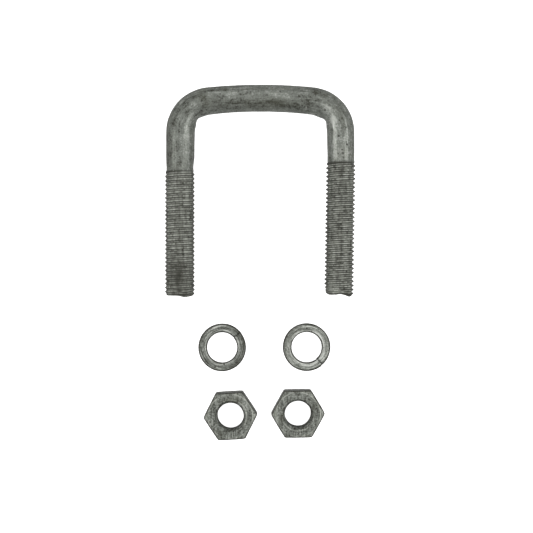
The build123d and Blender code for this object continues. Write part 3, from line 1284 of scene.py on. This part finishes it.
@dataclass
class HexNut:
    """One hexagon nut, chamfered on both faces, with its thread."""

    side: str
    turn: float
    # the side of each mouth on which its rings of painted shade and painted highlight lie
    ring_angle: float
    rubs_and_highlights: tuple[Blemish, ...]
    stains_and_shade: tuple[Blemish, ...]
    across_flats: float = 19.15 * MM
    height: float = 10.0 * MM
    corner_radius: float = 0.8 * MM
    face_inset: float = 0.5 * MM
    bore: float = 5.39 * MM
    root: float = 6.25 * MM
    thread_flat: float = 0.30 * MM
    countersink: float = 0.90 * MM
    soften: float = 0.10 * MM
    columns: int = 144
    chamfer_rings: int = 12
    side_rings: int = 14
    face_rings: int = 16
    coat: Coat = Coat(lump=0.07 * MM, lump_scale=240.0, grain=0.03 * MM, dent=0.05 * MM)

    def __post_init__(self) -> None:
        """Works out the radii of the bore's mouth and of the flat face."""
        self.mouth = self.bore + self.countersink
        self.face = self.across_flats / 2 - self.face_inset

    def hexagon(self, angles: np.ndarray) -> np.ndarray:
        """Radius of the rounded hexagon.

        Args:
            angles: round from a corner, in radians.

        Returns:
            One radius for each angle.
        """
        from_corner = (angles + math.pi / 6) % (math.pi / 3) - math.pi / 6
        centre = (self.across_flats / 2 - self.corner_radius) / math.cos(math.pi / 6)
        flat = self.across_flats / 2 / np.cos(math.pi / 6 - np.abs(from_corner))
        inside = self.corner_radius**2 - (centre * np.sin(from_corner)) ** 2
        rounded = centre * np.cos(from_corner) + np.sqrt(np.maximum(inside, 0))
        return np.where(inside > 0, np.minimum(flat, rounded), flat)

    def skin(self) -> bpy.types.Mesh:
        """Both faces, the chamfers and the six sides, from one mouth of the bore to the other.

        Returns:
            The skin, open at both mouths.
        """
        slope = math.tan(math.radians(30))
        angles = np.linspace(0, TURN, self.columns + 1)
        outline = self.hexagon(angles)
        deep = (outline.max() - self.face) * slope * 1.1
        chamfer = deep * np.linspace(0, 1, self.chamfer_rings) ** 1.3
        sides = np.linspace(deep, self.height - deep, self.side_rings)[1:-1]
        levels = np.concatenate([chamfer, sides, self.height - chamfer[::-1]])
        inwards = np.linspace(self.face, self.mouth, self.face_rings)[1:]
        rings = [(np.full(len(angles), radius), 0.0) for radius in inwards[::-1]]
        for level in levels:
            cone = self.face + min(level, self.height - level) / slope
            rings.append((self._side_radius(outline, cone), level))
        rings += [(np.full(len(angles), radius), self.height) for radius in inwards]
        points = [
            np.stack([radius * np.cos(angles), radius * np.sin(angles), 0 * radius + level], -1)
            for radius, level in rings
        ]
        return sheet_mesh("nut_skin", np.array(points))

    def _side_radius(self, outline: np.ndarray, cone: float) -> np.ndarray:
        """The lesser of the hexagon and the cone, with the edge between them eased.

        Args:
            outline: the hexagon's radii.
            cone: the cone's radius at this level.

        Returns:
            One radius for each of the hexagon's.
        """
        gap = np.clip(0.5 + 0.5 * (outline - cone) / self.soften, 0, 1)
        eased = outline * (1 - gap) + cone * gap - self.soften * gap * (1 - gap)
        return np.minimum(eased, np.minimum(outline, cone))

    def marks(self, mesh: bpy.types.Mesh, turned: np.ndarray) -> None:
        """Marks painted shade in the bore, on the flats and along the outline, rings of painted
        shade and painted highlight round each mouth, painted highlights on the edges, and the marks
        for rubs and painted highlights and for stains and painted shade.

        Args:
            mesh: the nut's skin, with a corner on +X.
            turned: its vertices as the nut lies, measured from its middle.
        """
        x, y, z = read_points(mesh).T
        off_axis = np.hypot(x, y)
        around = np.arctan2(y, x)
        from_end = np.minimum(z, self.height - z)
        in_bore = off_axis < self.mouth - 0.01 * MM

        # painted shade in the bore, deeper down and in the thread's grooves
        groove = smooth_step(self.bore, self.root, off_axis)
        deep = smooth_step(0.3 * MM, 1.2 * MM, from_end)
        wall = np.where(in_bore, 0.10 + deep * (0.35 + 0.5 * groove), 0)
        # painted shade on the six upright sides
        on_side = off_axis > self.across_flats / 2 - 0.2 * MM
        flats = on_side * smooth_step(0.5 * MM, 2 * MM, from_end)
        # painted shade in a thin band along the outline of each face
        brink = smooth_step(0.75 * MM, 0.25 * MM, self.hexagon(around) - off_axis)
        brink = brink * (from_end < 2.2 * MM)
        # a ring of painted shade round the mouth, on the side towards ring_angle
        facing = (0.5 + 0.5 * np.cos(around - math.radians(self.ring_angle))) ** 2
        shaded_line = bell(off_axis, self.mouth + 0.95 * MM, 0.20 * MM) * facing
        shade = wall + 0.5 * flats + 0.8 * brink * ~in_bore + 0.55 * shaded_line
        mark(mesh, "shade", np.clip(shade, 0, 1))

        # painted highlights: a ring inside the dark one, an arc where the face meets the chamfer,
        # and the chamfers near the corners
        ring_highlight = bell(off_axis, self.mouth + 0.40 * MM, 0.22 * MM) * facing
        arc = bell(off_axis, self.face, 0.22 * MM) * (from_end < 0.2 * MM)
        corner = smooth_step(self.face + 0.2 * MM, self.face + 0.8 * MM, off_axis)
        light = 0.75 * arc + 0.45 * corner * (from_end < 1.5 * MM) + 0.7 * ring_highlight
        mark(mesh, "edge", np.clip(light * ~in_bore * (1 - brink), 0, 1))
        mark(mesh, "unrolled", turned)
        # the marks for rubs and painted highlights and for stains and painted shade
        mark(mesh, "rubs_and_highlights", spread_all(self.rubs_and_highlights, turned))
        mark(mesh, "stains_and_shade", spread_all(self.stains_and_shade, turned))

    def build(self, trees: "Trees", finish: bpy.types.Material) -> bpy.types.Object:
        """Makes the nut.

        Args:
            trees: the geometry trees.
            finish: the zinc.

        Returns:
            The finished piece.
        """
        thread = Thread(self.bore, self.root, self.thread_flat, self.thread_flat)
        rims = (self.mouth, self.mouth)
        tube = thread.tube(trees.thread, self.height, *rims, self.columns, side=-1)
        bare = weld(f"bare_nut_{self.side}", [self.skin(), tube])
        x, y, z = read_points(bare).T
        cos, sin = math.cos(math.radians(self.turn)), math.sin(math.radians(self.turn))
        turned = np.stack([x * cos - y * sin, x * sin + y * cos, z - self.height / 2], -1)
        self.marks(bare, turned)
        place = centre_of(f"hex_nut_{self.side}")
        write_points(bare, turned + np.array([place.x, place.y, self.height / 2]))
        return self.coat.dip(f"galvanised_nut_{self.side}", bare, trees.coat, finish)


@dataclass
class Trees:
    """The geometry trees that the pieces share."""

    thread: GeometryGraph = field(default_factory=thread_tree)
    bar: GeometryGraph = field(default_factory=bar_tree)
    coil: GeometryGraph = field(default_factory=coil_tree)
    coat: GeometryGraph = field(default_factory=coat_tree)


# ---------------------------------------------------------------- bench, lights and camera
@dataclass(frozen=True)
class Lamp:
    """A square soft lamp, aimed at the middle of the bench: its side in metres, and its watts."""

    name: str
    place: tuple[float, float, float]
    size: float
    power: float

    def hang(self) -> None:
        """Adds the lamp to the scene."""
        light = bpy.data.lights.new(self.name, "AREA")
        light.size = self.size
        light.energy = self.power
        lamp = bpy.data.objects.new(self.name, light)
        lamp.location = self.place
        lamp.rotation_euler = (-Vector(self.place)).to_track_quat("-Z", "Y").to_euler()
        bpy.context.collection.objects.link(lamp)


@dataclass
class Studio:
    """A pale lit bench, soft lamps and a camera straight above."""

    lamps: tuple[Lamp, ...] = (
        Lamp("overhead_box", (0.0, 0.10, 1.40), 1.50, 3.0),
        Lamp("left_box", (-0.64, 0.05, 0.60), 0.26, 1.6),
        Lamp("right_box", (0.62, 0.02, 0.62), 0.30, 1.8),
        Lamp("far_box", (0.0, 0.70, 0.66), 0.30, 0.7),
    )
    bench_size: float = 40.0
    bench_grey: float = 0.86
    bench_glow: float = 1.0
    bench_rough: float = 0.9
    sky: float = 0.62
    camera_height: float = 0.556
    view_width: float = 0.2185
    view_centre: tuple[float, float] = (0.0025, -0.0018)
    sensor: float = 36.0

    def bench(self) -> None:
        """Adds the flat surface that everything lies on, which glows and so shows no shadows."""
        half = self.bench_size / 2
        corners = np.array([(-half, -half, 0), (half, -half, 0), (half, half, 0), (-half, half, 0)])
        mesh = plain_mesh("bench", corners, [(0, 1, 2, 3)])
        paint = bpy.data.materials.new("bench_paint")
        paint.use_nodes = True
        inputs = paint.node_tree.nodes["Principled BSDF"].inputs
        inputs["Base Color"].default_value = (*[self.bench_grey] * 3, 1)
        inputs["Roughness"].default_value = self.bench_rough
        inputs["Emission Color"].default_value = (1, 1, 1, 1)
        inputs["Emission Strength"].default_value = self.bench_glow
        mesh.materials.append(paint)
        bench = bpy.data.objects.new("bench", mesh)
        bench.visible_diffuse = False
        bench.visible_glossy = False
        bpy.context.collection.objects.link(bench)

    def lights(self) -> None:
        """Adds a wide box overhead, a box on three sides and an even, dim sky."""
        for lamp in self.lamps:
            lamp.hang()
        sky = bpy.data.worlds.new("sky")
        sky.use_nodes = True
        background = sky.node_tree.nodes["Background"]
        background.inputs["Color"].default_value = (1, 1, 1, 1)
        background.inputs["Strength"].default_value = self.sky
        bpy.context.scene.world = sky
        bpy.context.scene.view_settings.view_transform = "Standard"

    def camera(self) -> None:
        """Adds a long lens straight above the lay-out."""
        lens = bpy.data.cameras.new("camera")
        middle = centre_of("u_bolt").z
        lens.sensor_width = self.sensor
        lens.lens = self.sensor * (self.camera_height - middle) / self.view_width
        camera = bpy.data.objects.new("camera", lens)
        camera.location = (*self.view_centre, self.camera_height)
        bpy.context.collection.objects.link(camera)
        bpy.context.scene.camera = camera


def settle(piece: bpy.types.Object, node: str) -> None:
    """Puts a finished piece in place of its CAD node.

    Args:
        piece: the finished object.
        node: the CAD node, which is also the name of its body.
    """
    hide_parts(node)
    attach(piece, node)
    triangles = sum(len(p.vertices) - 2 for p in piece.data.polygons)
    log.info("%s stands for %s: %d triangles", piece.name, node, triangles)


def main() -> None:
    """Builds the pieces in order."""
    logging.basicConfig(level=logging.INFO, format="%(name)s: %(message)s")
    studio = Studio()
    studio.camera()
    studio.bench()
    studio.lights()
    trees = Trees()

    settle(UBolt().build(trees, ZincFinish("zinc_on_bar").material()), "u_bolt")

    # the washers' finish, whose gleam colour is the colour of their painted highlight ring
    washer_zinc = ZincFinish(
        "zinc_on_washer", pale=(0.540, 0.560, 0.515, 1), gleam=(0.86, 0.88, 0.83, 1),
        cloud=0.20, mottle=0.30, streak_scale=2300.0, streak=2.4, stretch=0.05, hair=0.4,
        scuffed=0.3,
    )
    washers = (
        (SpringWasher("left", 37.0, cut=0.05 * MM, bevel=0.04 * MM), 0.46),
        (SpringWasher("right", -50.0, ring=1.0, shade_line=0.95), 0.62),
    )
    for washer, tone in washers:
        zinc = replace(washer_zinc, name=f"zinc_on_{washer.side}_washer", tone=tone)
        made = washer.build(trees, zinc.material())
        settle(made, f"spring_washer_{washer.side}")

    nut_zinc = ZincFinish(
        "zinc_on_nut", cloud=0.20, mottle=0.30, speck=2.3, streak=1.1, stretch=0.3, hair=1.2,
    ).material()
    nuts = (
        HexNut(
            "left", turn=3.5, ring_angle=10.0,
            rubs_and_highlights=(Blemish(6.3, 4.2, 1.0, 2.6, 0.7), Blemish(-5.0, 6.6, 2.2, 0.5, 0.4)),
            stains_and_shade=(Blemish(-1.0, 6.3, 3.6, 0.9, 0.6), Blemish(-4.6, -6.8, 1.8, 1.2, 0.5)),
        ),
        HexNut(
            "right", turn=1.0, ring_angle=-115.0,
            rubs_and_highlights=(Blemish(-7.6, 1.0, 0.8, 2.6, 0.6), Blemish(4.5, 7.4, 2.6, 0.5, 0.4)),
            stains_and_shade=(Blemish(-6.8, -1.4, 0.9, 2.4, 0.6), Blemish(6.0, 3.0, 1.6, 3.0, 0.35)),
        ),
    )
    for nut in nuts:
        settle(nut.build(trees, nut_zinc), f"hex_nut_{nut.side}")


if __name__ == "__main__":
    main()
